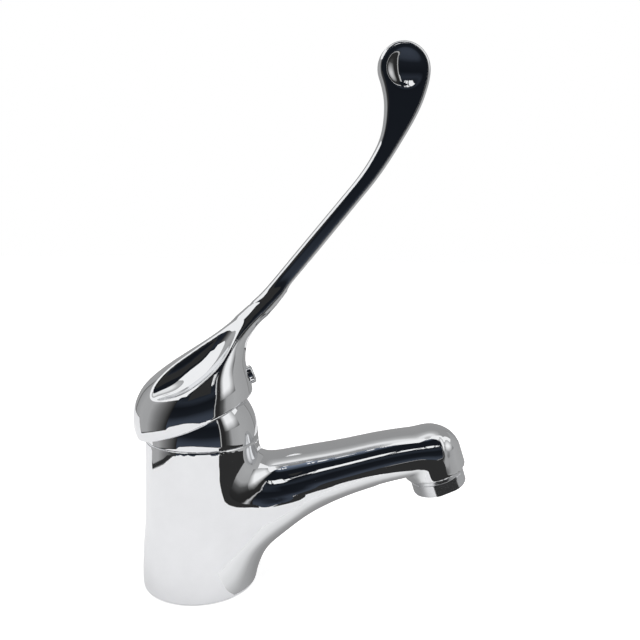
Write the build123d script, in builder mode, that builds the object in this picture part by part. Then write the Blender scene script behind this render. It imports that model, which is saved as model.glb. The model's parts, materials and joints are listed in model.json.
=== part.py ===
from build123d import *
import math
import os

os.makedirs("parts", exist_ok=True)

# A single-lever basin tap with a long clinic lever. Millimetres, +Z up, spout toward +X.
# The origin is the centre of the base on the basin. The lever is drawn fully lifted (tap open).

# Casting: the column leans forward a little, and the cartridge stands upright over its top
body_radius = 25.0
body_height = 69.5
axis_x = 1.5
root_fillet = 8.0
flare_inset = 0.1
edge_steps = 12

# Underside, with the inlets and the stud placed from the axis of the cartridge
recess_radius = 20.4
recess_depth = 12.0
seal_width = 3.0
seal_height = 2.4
inlet_x = -5.5
inlet_y = 8.5
inlet_radius = 4.6
stud_x = -15.5
stud_radius = 3.4
block_height = 12.0
block_clearance = 0.05

# Spout and outlet
spout_half_width = 14.8
nose_x = 115.6
nose_z = 48.2
nose_radius = 15.2
nose_side = 9.0
nose_rise = 23.3
outlet_tilt = 19.0
root_duct_radius = 6.5
duct_radius = 8.6
duct_bend = 30.0

# Cartridge chamber and port base
chamber_depth = 29.7
cartridge_radius = 17.4
cartridge_wall = 2.0
chamber_clearance = 0.25
port_radius = 3.2
outlet_port_x = 8.6
port_base_height = 5.5
port_seal_radius = 4.9
port_seal_height = 1.2
peg_radius = 1.6
peg_length = 2.4
peg_x = 7.5
peg_y = 11.0

# Ceramic discs and their carrier
disc_thickness = 4.0
moving_disc_radius = 11.8
mixing_radius = 7.4
mixing_depth = 2.0
running_gap = 0.1
carrier_height = 5.4
carrier_half_width = 9.0

# Rotor and cartridge housing
rotor_flange_height = 6.6
rotor_neck_radius = 9.5
glide_thickness = 0.8
housing_roof = 2.6
housing_neck_height = 4.5
neck_wall = 2.6
limit_ring_height = 2.0
turn_limit = 50.0
stop_half_angle = 10.0
stop_height = 1.4
stop_reach = 1.0

# Retaining nut and the O-ring on its collar
nut_radius = 19.0
nut_engagement = 8.5
nut_collar_radius = 20.0
nut_collar_height = 3.2
nut_hex_height = 3.6
nut_hex_flats = 32.0
o_ring_radius = 0.85
groove_depth = 1.25

# Lever pivot and dome shroud
pivot_rise = 1.3
lift_angle = 22.0
shroud_radius = 25.5
shroud_wall = 1.8
shroud_top = 15.2
shroud_foot = 3.4
sphere_gap = 0.4
shoulder = 0.2
cap_gap = 0.7

# Spindle
spindle_width = 8.0
spindle_top = 27.0
spindle_arm = 14.2
spindle_edge = 0.8
ball_radius = 3.0
eye_radius = 4.0
arm_radius = 2.0
pin_radius = 1.5
fit_clearance = 0.3
bore_clearance = 0.1

# Handle
rim_height = 9.8
rim_radius = 27.4
hub_radius = 8.0
hub_bottom = 10.0
boss_radius = 5.0
lever_thickness = 5.6
lever_edge = 1.9
pad_radius = 12.4
pad_x = 147.6
pad_z = 122.1
blade_angle = 28.5
dimple_radius = 8.9
dimple_depth = 1.3
plug_z = 17.0
plug_radius = 4.25
plug_shank_radius = 3.3
plug_shank_length = 6.0
plug_seat_x = 29.0
plug_crown = 3.0
plug_slot_width = 1.2
plug_slot_depth = 0.8
grub_radius = 2.5
grub_length = 6.0
grub_socket_radius = 1.3
grub_socket_depth = 2.5

# Aerator
ring_radius = 13.3
ring_length = 8.6
ring_flats = 23.8
ring_shoulder = 2.2
ring_edge = 0.6
thread_radius = 12.0
thread_length = 6.5
gasket_height = 1.6
gasket_width = 2.0
waterway_depth = 5.0
insert_radius = 10.6
insert_height = 5.0
insert_lip = 1.0
grid_hole_radius = 1.25
grid_rows = 5
screen_height = 0.6

# Levels that follow from the sizes above
block_top = recess_depth + block_height
chamber_floor = body_height - chamber_depth
pivot_z = body_height + pivot_rise
base_top = chamber_floor + port_base_height
fixed_disc_top = base_top + disc_thickness
moving_disc_bottom = fixed_disc_top + running_gap
carrier_bottom = moving_disc_bottom + disc_thickness
carrier_top = carrier_bottom + carrier_height
rotor_bottom = carrier_top + fit_clearance
flange_top = rotor_bottom + rotor_flange_height
glide_bottom = flange_top + running_gap
roof_bottom = glide_bottom + glide_thickness
roof_top = roof_bottom + housing_roof
neck_top = roof_top + housing_neck_height
ring_top = neck_top + limit_ring_height
rotor_top = ring_top + fit_clearance

# Radii and offsets that follow from the sizes above
chamber_radius = cartridge_radius + chamber_clearance
housing_inner = cartridge_radius - cartridge_wall
rotor_radius = housing_inner - sphere_gap
neck_inner = rotor_neck_radius + sphere_gap
neck_outer = neck_inner + neck_wall
stop_radius = neck_inner + stop_reach
shroud_inner = shroud_radius - shroud_wall
top_radius = shroud_radius + shoulder
cavity_radius = shroud_radius + cap_gap
slide_travel = spindle_arm * math.sin(math.radians(lift_angle))
disc_x = slide_travel / 2

# Frames: the lifted lever, its side view and cross-sections, and the tilted outlet
lift = math.radians(lift_angle)
lever = Plane(
    origin=(axis_x, 0, pivot_z),
    x_dir=(math.cos(lift), 0, math.sin(lift)),
    z_dir=(-math.sin(lift), 0, math.cos(lift)),
)
lever_side = Plane(origin=lever.origin, x_dir=lever.x_dir, z_dir=(0, -1, 0))
lever_cross = Plane(origin=lever.origin, x_dir=(0, 1, 0), z_dir=lever.x_dir)
tilt = math.radians(outlet_tilt)
outlet = Plane(
    origin=(nose_x, 0, nose_z),
    x_dir=(math.cos(tilt), 0, math.sin(tilt)),
    z_dir=(-math.sin(tilt), 0, math.cos(tilt)),
)
outlet_side = Plane(origin=outlet.origin, x_dir=outlet.x_dir, z_dir=(0, -1, 0))
pivot_side = Plane(origin=lever.origin, x_dir=(1, 0, 0), z_dir=(0, -1, 0))
cartridge_axis = Axis((axis_x, 0, 0), (0, 0, 1))


def level(height):
    """The horizontal plane at this height, centred on the axis of the cartridge."""
    return Plane(origin=(axis_x, 0, height))


def column_at(height):
    """The centre and the radius of the leaning column at this height."""
    share = height / body_height
    return axis_x * share, body_radius + (top_radius - body_radius) * share


# Front flare of the column: height, front point and how much narrower it is than the column
flare_stations = [
    (0.0, body_radius + 1.0, 0.0),
    (9.0, 28.7, 0.0),
    (17.0, 32.7, 0.2),
    (24.0, 38.7, 1.4),
    (30.0, 46.4, 3.6),
]

# Spout: distance forward, lowest point, highest point and half width
spout_stations = [
    (6.0, 22.0, body_height - 9.9, 21.4),
    (20.0, 22.0, body_height - 9.6, 21.4),
    (36.0, 22.5, body_height - 9.2, 19.4),
    (48.0, 30.2, nose_z + 13.7, 17.9),
    (60.0, 35.8, nose_z + 15.3, 16.7),
    (72.0, 39.6, nose_z + 17.1, 15.8),
    (84.0, 42.6, nose_z + 19.2, 15.3),
    (98.0, 45.5, nose_z + 21.0, spout_half_width + 0.1),
    (nose_x - 4.6, nose_z - 0.4, nose_z + 21.9, spout_half_width),
]

# Corners of the duct's centre line, from under the outlet port to the nose
duct_points = [(axis_x + 6, 0, 31.5), (27, 0, 36), (66, 0, 52), (nose_x - 9.6, 0, nose_z + 9.8)]

# Body: the casting with its leaning column, flare, spout, nose, cartridge chamber and waterways
with BuildPart() as body:
    with BuildSketch():
        Circle(body_radius)
    with BuildSketch(level(body_height)):
        Circle(top_radius)
    loft()
    for height, front, narrowing in flare_stations:
        centre, radius = column_at(height)
        half_width = radius - flare_inset - narrowing
        with BuildSketch(Plane(origin=(centre, 0, height))):
            with BuildLine():
                EllipticalCenterArc((0, 0), front - centre, half_width, 270, arc_size=180)
                Line((0, half_width), (0, -half_width))
            make_face()
    loft()
    for forward, low, high, half_width in spout_stations:
        middle = (forward, 0, (low + high) / 2)
        with BuildSketch(Plane(origin=middle, x_dir=(0, 0, 1), z_dir=(1, 0, 0))):
            Ellipse((high - low) / 2, half_width)
    loft()
    # Round the inner corner where the spout and the flare leave the column, up to its top face
    root_edges = []
    for edge in body.edges():
        samples = [edge @ (step / edge_steps) for step in range(edge_steps + 1)]
        offsets = []
        for sample in samples:
            centre, radius = column_at(sample.Z)
            offsets.append(abs(math.hypot(sample.X - centre, sample.Y) - radius))
        top = max(sample.Z for sample in samples)
        if max(offsets) < flare_inset / 2 and flare_stations[-1][0] < top < body_height - shoulder:
            root_edges.append(edge)
    fillet(root_edges, root_fillet)
    with BuildSketch(outlet_side):
        with BuildLine():
            Polyline((0, nose_rise), (0, 0), (nose_radius, 0), (nose_radius, nose_side))
            EllipticalCenterArc((0, nose_side), nose_radius, nose_rise - nose_side, 0, arc_size=90)
        make_face()
    revolve(axis=Axis(outlet.origin, outlet.z_dir))
    # Chamber for the cartridge, the bore for the nut's thread and the holes for the locating pegs
    with BuildSketch(level(chamber_floor)):
        Circle(chamber_radius)
    extrude(amount=chamber_depth, mode=Mode.SUBTRACT)
    with BuildSketch(level(body_height)):
        Circle(nut_radius + bore_clearance)
    extrude(amount=-(nut_engagement + fit_clearance), mode=Mode.SUBTRACT)
    with BuildSketch(level(chamber_floor)):
        with Locations((peg_x, peg_y), (peg_x, -peg_y)):
            Circle(peg_radius + bore_clearance)
    extrude(amount=-(peg_length + fit_clearance), mode=Mode.SUBTRACT)
    # Bore from below for the inlet block, with the seat of the base seal
    with BuildSketch():
        Circle(recess_radius)
    extrude(amount=block_top, mode=Mode.SUBTRACT)
    with BuildSketch():
        Circle(recess_radius + seal_width)
    extrude(amount=seal_height, mode=Mode.SUBTRACT)
    # Ports that lead the water from the inlet block to the cartridge
    with BuildSketch(level(block_top)):
        with Locations((inlet_x, inlet_y), (inlet_x, -inlet_y)):
            Circle(port_radius)
    extrude(amount=chamber_floor - block_top, mode=Mode.SUBTRACT)
    # Outlet port and the duct, which is wider past the root of the spout
    with BuildSketch(level(chamber_floor)):
        with Locations((outlet_port_x, 0)):
            Circle(port_radius)
    extrude(amount=-root_duct_radius, mode=Mode.SUBTRACT)
    with BuildLine():
        duct = FilletPolyline(*duct_points, radius=duct_bend)
    with BuildSketch(Plane(origin=duct @ 0, z_dir=duct % 0)):
        Circle(root_duct_radius)
    sweep(path=duct, mode=Mode.SUBTRACT)
    with BuildLine():
        wide_start = duct @ 0.5
        wide_duct = Polyline(wide_start, duct_points[-2], duct_points[-1])
    with BuildSketch(Plane(origin=wide_duct @ 0, z_dir=wide_duct % 0)):
        Circle(duct_radius)
    sweep(path=wide_duct, transition=Transition.ROUND, mode=Mode.SUBTRACT)
    # Aerator socket
    with BuildSketch(outlet):
        Circle(thread_radius + bore_clearance)
    extrude(amount=thread_length + gasket_height, mode=Mode.SUBTRACT)
    with BuildSketch(outlet):
        Circle(thread_radius - gasket_width)
    extrude(amount=thread_length + gasket_height + waterway_depth, mode=Mode.SUBTRACT)
body.part.label = "body"
export_step(body.part, "parts/body.step")

# Inlet block: the brass plug in the column's foot that takes the two hoses and the fixing stud
with BuildPart() as inlet_block:
    with BuildSketch(Plane.XY.offset(recess_depth)):
        Circle(recess_radius - block_clearance)
    extrude(amount=block_height)
    with BuildSketch(level(recess_depth)):
        with Locations((inlet_x, inlet_y), (inlet_x, -inlet_y)):
            Circle(inlet_radius)
        with Locations((stud_x, 0)):
            Circle(stud_radius)
    extrude(amount=block_height, mode=Mode.SUBTRACT)
inlet_block.part.label = "inlet_block"
export_step(inlet_block.part, "parts/inlet_block.step")

# Base seal: the rubber ring between the casting and the basin
with BuildPart() as base_seal:
    with BuildSketch():
        Circle(recess_radius + seal_width - bore_clearance)
        Circle(recess_radius, mode=Mode.SUBTRACT)
    extrude(amount=seal_height)
base_seal.part.label = "base_seal"
export_step(base_seal.part, "parts/base_seal.step")

# Port base: the cartridge's lower cover, with three ports, seal seats and two locating pegs
port_places = [(inlet_x, inlet_y), (inlet_x, -inlet_y), (outlet_port_x, 0)]
with BuildPart() as port_base:
    with BuildSketch(level(chamber_floor)):
        Circle(cartridge_radius)
    extrude(amount=port_base_height)
    with BuildSketch(level(chamber_floor)):
        with Locations((peg_x, peg_y), (peg_x, -peg_y)):
            Circle(peg_radius)
    extrude(amount=-peg_length)
    with BuildSketch(level(chamber_floor)):
        with Locations(*port_places):
            Circle(port_radius)
    extrude(amount=port_base_height, mode=Mode.SUBTRACT)
    for seat, direction in ((chamber_floor, 1), (base_top, -1)):
        with BuildSketch(level(seat)):
            with Locations(*port_places):
                Circle(port_seal_radius)
        extrude(amount=direction * port_seal_height, mode=Mode.SUBTRACT)
port_base.part.label = "port_base"
export_step(port_base.part, "parts/port_base.step")

# Port seals below and disc seals above the port base: three rubber rings each
for name, seat in (("port_seals", chamber_floor), ("disc_seals", base_top - port_seal_height)):
    with BuildPart() as seals:
        with BuildSketch(level(seat)):
            with Locations(*port_places):
                Circle(port_seal_radius - bore_clearance)
                Circle(port_radius + bore_clearance, mode=Mode.SUBTRACT)
        extrude(amount=port_seal_height)
    seals.part.label = name
    export_step(seals.part, f"parts/{name}.step")

# Fixed ceramic disc with its three ports
with BuildPart() as fixed_disc:
    with BuildSketch(level(base_top)):
        Circle(housing_inner - bore_clearance)
        with Locations(*port_places):
            Circle(port_radius, mode=Mode.SUBTRACT)
    extrude(amount=disc_thickness)
fixed_disc.part.label = "fixed_ceramic_disc"
export_step(fixed_disc.part, "parts/fixed_ceramic_disc.step")

# Moving ceramic disc with the mixing recess under it
with BuildPart() as moving_disc:
    with BuildSketch(level(moving_disc_bottom)):
        with Locations((disc_x, 0)):
            Circle(moving_disc_radius)
    extrude(amount=disc_thickness)
    with BuildSketch(level(moving_disc_bottom)):
        with Locations((disc_x, 0)):
            Circle(mixing_radius)
    extrude(amount=mixing_depth, mode=Mode.SUBTRACT)
moving_disc.part.label = "moving_ceramic_disc"
export_step(moving_disc.part, "parts/moving_ceramic_disc.step")

# Disc carrier: slides with the moving disc, with flats for the rotor and a socket for the ball
with BuildPart() as disc_carrier:
    with BuildSketch(level(carrier_bottom)):
        with Locations((disc_x, 0)):
            Circle(moving_disc_radius)
            Rectangle(3 * moving_disc_radius, 2 * carrier_half_width, mode=Mode.INTERSECT)
        with Locations((slide_travel, 0)):
            Circle(ball_radius + fit_clearance, mode=Mode.SUBTRACT)
    extrude(amount=carrier_height)
disc_carrier.part.label = "disc_carrier"
export_step(disc_carrier.part, "parts/disc_carrier.step")

# Rotor: turns in the housing, guides the carrier, and holds the pin that the spindle tilts on
with BuildPart() as rotor:
    with BuildSketch(level(rotor_bottom)):
        Circle(rotor_radius)
    extrude(amount=rotor_flange_height)
    with BuildSketch(level(flange_top)):
        Circle(rotor_neck_radius)
    extrude(amount=rotor_top - flange_top)
    # Side walls that keep the carrier on its straight path
    with BuildSketch(level(carrier_bottom + fit_clearance)):
        Circle(rotor_radius)
        Rectangle(
            3 * rotor_radius, 2 * (carrier_half_width + fit_clearance), mode=Mode.SUBTRACT
        )
    extrude(amount=carrier_height)
    # Stop lug at the rear, which runs in the limit ring
    with BuildSketch(level(neck_top + fit_clearance)):
        with BuildLine():
            stop_start = 180 - stop_half_angle
            Line((0, 0), PolarLine((0, 0), stop_radius, stop_start) @ 1)
            CenterArc((0, 0), stop_radius, stop_start, 2 * stop_half_angle)
            Line(PolarLine((0, 0), stop_radius, 180 + stop_half_angle) @ 1, (0, 0))
        make_face()
    extrude(amount=stop_height)
    # Slot that leaves the spindle room to tilt, and the bore of its pin
    half_slot = spindle_width / 2 + sphere_gap
    slot_rear = half_slot + (rotor_top - pivot_z + fit_clearance) * math.tan(lift) + fit_clearance
    slot_deep = pivot_z - rotor_bottom + fit_clearance
    with BuildSketch(pivot_side):
        with BuildLine():
            Polyline(
                (-slot_rear, rotor_top - pivot_z + 1),
                (half_slot, rotor_top - pivot_z + 1),
                (half_slot, -eye_radius),
                (slide_travel + ball_radius + fit_clearance, -slot_deep + ball_radius),
                (slide_travel + ball_radius + fit_clearance, -slot_deep),
                (-ball_radius - fit_clearance, -slot_deep),
                (-half_slot, -eye_radius),
                (-slot_rear, rotor_top - pivot_z + 1),
            )
        make_face()
    extrude(amount=spindle_width / 2 + fit_clearance, both=True, mode=Mode.SUBTRACT)
    with BuildSketch(pivot_side):
        Circle(pin_radius + bore_clearance / 2)
    extrude(amount=rotor_radius, both=True, mode=Mode.SUBTRACT)
rotor.part.label = "rotor"
export_step(rotor.part, "parts/rotor.step")

# Spindle pin: the tilt axis, held in the rotor's neck
with BuildPart() as spindle_pin:
    with BuildSketch(pivot_side):
        Circle(pin_radius)
    extrude(amount=rotor_neck_radius - fit_clearance, both=True)
spindle_pin.part.label = "spindle_pin"
export_step(spindle_pin.part, "parts/spindle_pin.step")

# Spindle: square bar above the pin, arm and ball below it
with BuildPart() as spindle:
    with BuildSketch(lever):
        Rectangle(spindle_width, spindle_width)
    extrude(amount=spindle_top)
    chamfer(spindle.faces().sort_by(Axis(lever.origin, lever.z_dir))[-1].edges(), spindle_edge)
    with BuildSketch(lever_side):
        Circle(eye_radius)
    extrude(amount=spindle_width / 2, both=True)
    with BuildSketch(lever_side):
        with BuildLine():
            Polyline(
                (0, 0),
                (eye_radius - 0.5, 0),
                (arm_radius, -spindle_arm / 2),
                (arm_radius, -spindle_arm),
                (0, -spindle_arm),
                (0, 0),
            )
        make_face()
    revolve(axis=Axis(lever.origin, lever.z_dir))
    with Locations(lever.from_local_coords((0, 0, -spindle_arm))):
        Sphere(ball_radius)
    with BuildSketch(lever_side):
        Circle(pin_radius + bore_clearance)
    extrude(amount=spindle_width, both=True, mode=Mode.SUBTRACT)
spindle.part.label = "spindle"
export_step(spindle.part, "parts/spindle.step")

# Glide ring between the rotor's flange and the roof of the housing
with BuildPart() as glide_ring:
    with BuildSketch(level(glide_bottom)):
        Circle(rotor_radius)
        Circle(neck_inner, mode=Mode.SUBTRACT)
    extrude(amount=glide_thickness)
glide_ring.part.label = "glide_ring"
export_step(glide_ring.part, "parts/glide_ring.step")

# Cartridge housing: the cup over the discs and rotor, with the shoulder that the nut presses on
with BuildPart() as cartridge_housing:
    with BuildSketch(level(base_top)):
        Circle(cartridge_radius)
    extrude(amount=roof_top - base_top)
    with BuildSketch(level(roof_top)):
        Circle(neck_outer)
    extrude(amount=housing_neck_height)
    with BuildSketch(level(base_top)):
        Circle(housing_inner)
    extrude(amount=roof_bottom - base_top, mode=Mode.SUBTRACT)
    with BuildSketch(level(base_top)):
        Circle(neck_inner)
    extrude(amount=neck_top - base_top, mode=Mode.SUBTRACT)
cartridge_housing.part.label = "cartridge_housing"
export_step(cartridge_housing.part, "parts/cartridge_housing.step")

# Limit ring: stops the rotor's lug at each end of the turn
with BuildPart() as limit_ring:
    with BuildSketch(level(neck_top)):
        Circle(neck_outer)
        Circle(neck_inner, mode=Mode.SUBTRACT)
        with BuildLine():
            notch_angle = turn_limit + stop_half_angle
            notch_radius = stop_radius + sphere_gap
            Line((0, 0), PolarLine((0, 0), notch_radius, 180 - notch_angle) @ 1)
            CenterArc((0, 0), notch_radius, 180 - notch_angle, 2 * notch_angle)
            Line(PolarLine((0, 0), notch_radius, 180 + notch_angle) @ 1, (0, 0))
        make_face(mode=Mode.SUBTRACT)
    extrude(amount=limit_ring_height)
limit_ring.part.label = "limit_ring"
export_step(limit_ring.part, "parts/limit_ring.step")

# Cartridge nut: threaded skirt in the body, round collar with an O-ring groove, hexagon on top
nut_bottom = body_height - nut_engagement
collar_top = body_height + nut_collar_height
groove_z = body_height + nut_collar_height / 2
with BuildPart() as cartridge_nut:
    with BuildSketch(level(nut_bottom)):
        Circle(nut_radius)
    extrude(amount=nut_engagement)
    with BuildSketch(level(body_height)):
        Circle(nut_collar_radius)
    extrude(amount=nut_collar_height)
    with BuildSketch(level(collar_top)):
        RegularPolygon(nut_hex_flats / 2, 6, major_radius=False)
    extrude(amount=nut_hex_height)
    with BuildSketch(level(nut_bottom)):
        Circle(chamber_radius)
    extrude(amount=roof_top - nut_bottom, mode=Mode.SUBTRACT)
    with BuildSketch(level(nut_bottom)):
        Circle(neck_outer + bore_clearance)
    extrude(amount=collar_top + nut_hex_height - nut_bottom, mode=Mode.SUBTRACT)
    with BuildSketch(level(groove_z - o_ring_radius)):
        Circle(2 * nut_collar_radius)
        Circle(nut_collar_radius - groove_depth, mode=Mode.SUBTRACT)
    extrude(amount=2 * o_ring_radius, mode=Mode.SUBTRACT)
cartridge_nut.part.label = "cartridge_nut"
export_step(cartridge_nut.part, "parts/cartridge_nut.step")

# Shroud O-ring: holds the dome on the nut's collar
o_ring_centre = nut_collar_radius - groove_depth + o_ring_radius + bore_clearance / 2
with BuildPart() as shroud_o_ring:
    with BuildSketch(pivot_side):
        with Locations((o_ring_centre, groove_z - pivot_z)):
            Circle(o_ring_radius - bore_clearance / 2)
    revolve(axis=cartridge_axis)
shroud_o_ring.part.label = "shroud_o_ring"
export_step(shroud_o_ring.part, "parts/shroud_o_ring.step")

# Dome shroud: a spherical shell round the lever's pivot, open at the top
foot_inner = o_ring_centre + o_ring_radius
foot_low = body_height - pivot_z
outer_foot = math.sqrt(shroud_radius**2 - foot_low**2)
outer_top = math.sqrt(shroud_radius**2 - shroud_top**2)
inner_top = math.sqrt(shroud_inner**2 - shroud_top**2)
foot_high = foot_low + shroud_foot
inner_foot = math.sqrt(shroud_inner**2 - foot_high**2)
with BuildPart() as shroud:
    with BuildSketch(pivot_side):
        with BuildLine():
            Line((foot_inner, foot_low), (outer_foot, foot_low))
            ThreePointArc((outer_foot, foot_low), (shroud_radius, 0), (outer_top, shroud_top))
            Line((outer_top, shroud_top), (inner_top, shroud_top))
            RadiusArc((inner_top, shroud_top), (inner_foot, foot_high), shroud_inner)
            Line((inner_foot, foot_high), (foot_inner, foot_high))
            Line((foot_inner, foot_high), (foot_inner, foot_low))
        make_face()
    revolve(axis=cartridge_axis)
shroud.part.label = "shroud"
export_step(shroud.part, "parts/shroud.step")

# Space under the cap: the sphere that clears the dome, less its roof, the hub and the hub's boss
roof_flat = shroud_top + fit_clearance
roof_corner = roof_flat * (1 - math.cos(lift)) / math.sin(lift)
roof_reach = 2 * cavity_radius
roof_rear = (roof_flat + roof_reach * math.sin(lift)) / math.cos(lift)
with BuildPart() as cap_space:
    with Locations(lever.origin):
        Sphere(cavity_radius)
    with BuildSketch(lever_side):
        with BuildLine():
            Polyline(
                (roof_corner, roof_flat),
                (roof_reach, roof_flat),
                (roof_reach, roof_reach),
                (-roof_reach, roof_reach),
                (-roof_reach, roof_rear),
                (roof_corner, roof_flat),
            )
        make_face()
    extrude(amount=roof_reach, both=True, mode=Mode.SUBTRACT)
    with BuildSketch(lever.offset(hub_bottom)):
        Circle(hub_radius)
    extrude(amount=roof_reach, mode=Mode.SUBTRACT)
    with BuildSketch(lever_cross):
        with Locations((0, plug_z)):
            Circle(boss_radius)
    extrude(amount=spindle_width / 2 + grub_length + fit_clearance, mode=Mode.SUBTRACT)

# Handle: cap, hollowed flanks, lever and pad in one zinc casting, drawn in the lever's own frame
# Slices of the cap and neck: height, rearmost point, foremost point, half width
cap_slices = [
    (rim_height, -rim_radius, rim_radius + 1.3, rim_radius - 0.6),
    (13.5, -27.2, 29.4, 26.9),
    (18.0, -26.1, 29.9, 26.2),
    (23.1, -23.8, 30.4, 23.8),
    (28.6, -19.1, 32.6, 19.8),
    (33.1, -11.2, 36.0, 15.2),
    (36.6, 1.6, 40.8, 10.7),
    (40.1, 19.2, 46.6, 7.1),
    (43.6, 32.0, 52.8, 4.6),
    (47.0, 43.8, 56.0, lever_thickness / 2 - 0.4),
]
# Hollows of the flanks: distance forward, sideways and up, and radius of each round section
scoop_sections = [
    (-14.1, 17.5, 31.1, 2.0),
    (-9.6, 19.6, 33.6, 8.0),
    (-0.6, 20.6, 36.2, 13.0),
    (9.4, 19.8, 38.6, 13.8),
    (19.4, 17.4, 41.6, 13.0),
    (29.4, 14.2, 45.6, 10.4),
    (39.4, 10.6, 50.6, 7.2),
]
dimple_sphere = (dimple_radius**2 + dimple_depth**2) / (2 * dimple_depth)
dimple_centre = lever_thickness / 2 - dimple_depth + dimple_sphere
pad_rear = pad_x - pad_radius
pad_front = pad_x + pad_radius
blade_root_top = (38.0, 44.3)
blade_root_low = (48.5, 43.0)
blade_run = math.cos(math.radians(blade_angle))
blade_rise = math.sin(math.radians(blade_angle))
with BuildPart() as handle:
    # Blade and pad, flat on both sides, with rounded edges and a dimple on each side
    with BuildSketch(lever_side):
        with BuildLine():
            upper_bend = (pad_x - 43.2, pad_z - 41.6)
            lower_bend = (pad_x - 35.2, pad_z - 45.4)
            upper = Line(blade_root_top, upper_bend)
            rear_curve = Spline(
                upper @ 1,
                (pad_x - 23.4, pad_z - 27.5),
                (pad_x - 14.8, pad_z - 13.5),
                (pad_rear, pad_z),
                tangents=[(blade_run, blade_rise), (0, 1)],
            )
            tip = ThreePointArc(rear_curve @ 1, (pad_x, pad_z + pad_radius), (pad_front, pad_z))
            front_curve = Spline(
                tip @ 1,
                (pad_x + 5.4, pad_z - 14.1),
                (pad_x - 10.6, pad_z - 28.7),
                lower_bend,
                tangents=[(0, -1), (-blade_run, -blade_rise)],
            )
            lower = Line(front_curve @ 1, (56.4, 45.8))
            Line(lower @ 1, blade_root_low)
            Line(blade_root_low, blade_root_top)
        make_face()
    extrude(amount=lever_thickness / 2, both=True)
    flat_faces = handle.faces().filter_by(Axis.Y)
    fillet(flat_faces.edges(), lever_edge)
    for side in (-1, 1):
        with Locations(lever.from_local_coords((pad_x, side * dimple_centre, pad_z))):
            Sphere(dimple_sphere, mode=Mode.SUBTRACT)
    # Cap and neck
    for height, rear, front, half_width in cap_slices:
        slice_centre = ((rear + front) / 2, 0)
        half_length = (front - rear) / 2
        with BuildSketch(lever.offset(height)):
            with BuildLine():
                EllipticalCenterArc(slice_centre, half_length, half_width, 0, arc_size=180)
                EllipticalCenterArc(slice_centre, half_length, half_width, 180, arc_size=180)
            make_face()
    loft()
    for side in (-1, 1):
        for forward, sideways, up, radius in scoop_sections:
            with BuildSketch(lever_cross.offset(forward)):
                with Locations((side * sideways, up)):
                    Circle(radius)
        loft(mode=Mode.SUBTRACT)
    # Inside: the space over the dome, the spindle's square bore, and the screw and plug holes
    add(cap_space.part, mode=Mode.SUBTRACT)
    with BuildSketch(lever.offset(hub_bottom)):
        Rectangle(spindle_width + 2 * bore_clearance, spindle_width + 2 * bore_clearance)
    extrude(amount=spindle_top - hub_bottom + fit_clearance, mode=Mode.SUBTRACT)
    with BuildSketch(lever_cross):
        with Locations((0, plug_z)):
            Circle(grub_radius + bore_clearance / 2)
    extrude(amount=plug_seat_x, mode=Mode.SUBTRACT)
    with BuildSketch(lever_cross.offset(spindle_width / 2 + grub_length + 2)):
        with Locations((0, plug_z)):
            Circle(plug_shank_radius + bore_clearance / 2)
    extrude(amount=plug_seat_x, mode=Mode.SUBTRACT)
    with BuildSketch(lever_cross.offset(plug_seat_x)):
        with Locations((0, plug_z)):
            Circle(plug_radius + bore_clearance / 2)
    extrude(amount=plug_crown, mode=Mode.SUBTRACT)
handle.part.label = "handle"
export_step(handle.part, "parts/handle.step")

# Grub screw that clamps the spindle, with its hexagon socket toward the front
with BuildPart() as grub_screw:
    with BuildSketch(lever_cross.offset(spindle_width / 2)):
        with Locations((0, plug_z)):
            Circle(grub_radius)
    extrude(amount=grub_length)
    with BuildSketch(lever_cross.offset(spindle_width / 2 + grub_length)):
        with Locations((0, plug_z)):
            RegularPolygon(grub_socket_radius, 6, major_radius=False)
    extrude(amount=-grub_socket_depth, mode=Mode.SUBTRACT)
grub_screw.part.label = "grub_screw"
export_step(grub_screw.part, "parts/grub_screw.step")

# Plug over the screw's hole: a shank and a round crown with a lifting slot
crown_sphere = (plug_radius**2 + plug_crown**2) / (2 * plug_crown)
with BuildPart() as handle_plug:
    with BuildSketch(lever_cross.offset(plug_seat_x - plug_shank_length)):
        with Locations((0, plug_z)):
            Circle(plug_shank_radius)
    extrude(amount=plug_shank_length)
    with BuildSketch(lever_side):
        with BuildLine():
            crown_tip = (plug_seat_x + plug_crown, plug_z)
            Line(crown_tip, (plug_seat_x, plug_z))
            Line((plug_seat_x, plug_z), (plug_seat_x, plug_z + plug_radius))
            RadiusArc((plug_seat_x, plug_z + plug_radius), crown_tip, crown_sphere)
        make_face()
    revolve(axis=Axis(lever.from_local_coords((0, 0, plug_z)), lever.x_dir))
    with BuildSketch(lever_cross.offset(plug_seat_x + plug_crown)):
        with Locations((0, plug_z)):
            Rectangle(plug_slot_width, 2 * plug_radius)
    extrude(amount=-plug_slot_depth, mode=Mode.SUBTRACT)
handle_plug.part.label = "handle_plug"
export_step(handle_plug.part, "parts/handle_plug.step")

# Aerator housing: threaded spigot, round ring with two spanner flats, and a lip inside
with BuildPart() as aerator_housing:
    with BuildSketch(outlet):
        Circle(ring_radius)
    extrude(amount=-ring_length)
    fillet(aerator_housing.edges().sort_by(Axis(outlet.origin, outlet.z_dir))[0], ring_edge)
    with BuildSketch(outlet.offset(-ring_shoulder)):
        Circle(2 * ring_radius)
        Rectangle(3 * ring_radius, ring_flats, mode=Mode.SUBTRACT)
    extrude(amount=-ring_length, mode=Mode.SUBTRACT)
    with BuildSketch(outlet):
        Circle(thread_radius)
    extrude(amount=thread_length)
    with BuildSketch(outlet.offset(-ring_length)):
        Circle(insert_radius - insert_lip)
    extrude(amount=ring_length + thread_length, mode=Mode.SUBTRACT)
    with BuildSketch(outlet.offset(insert_lip - ring_length)):
        Circle(insert_radius + bore_clearance)
    extrude(amount=ring_length + thread_length, mode=Mode.SUBTRACT)
aerator_housing.part.label = "aerator_housing"
export_step(aerator_housing.part, "parts/aerator_housing.step")

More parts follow.
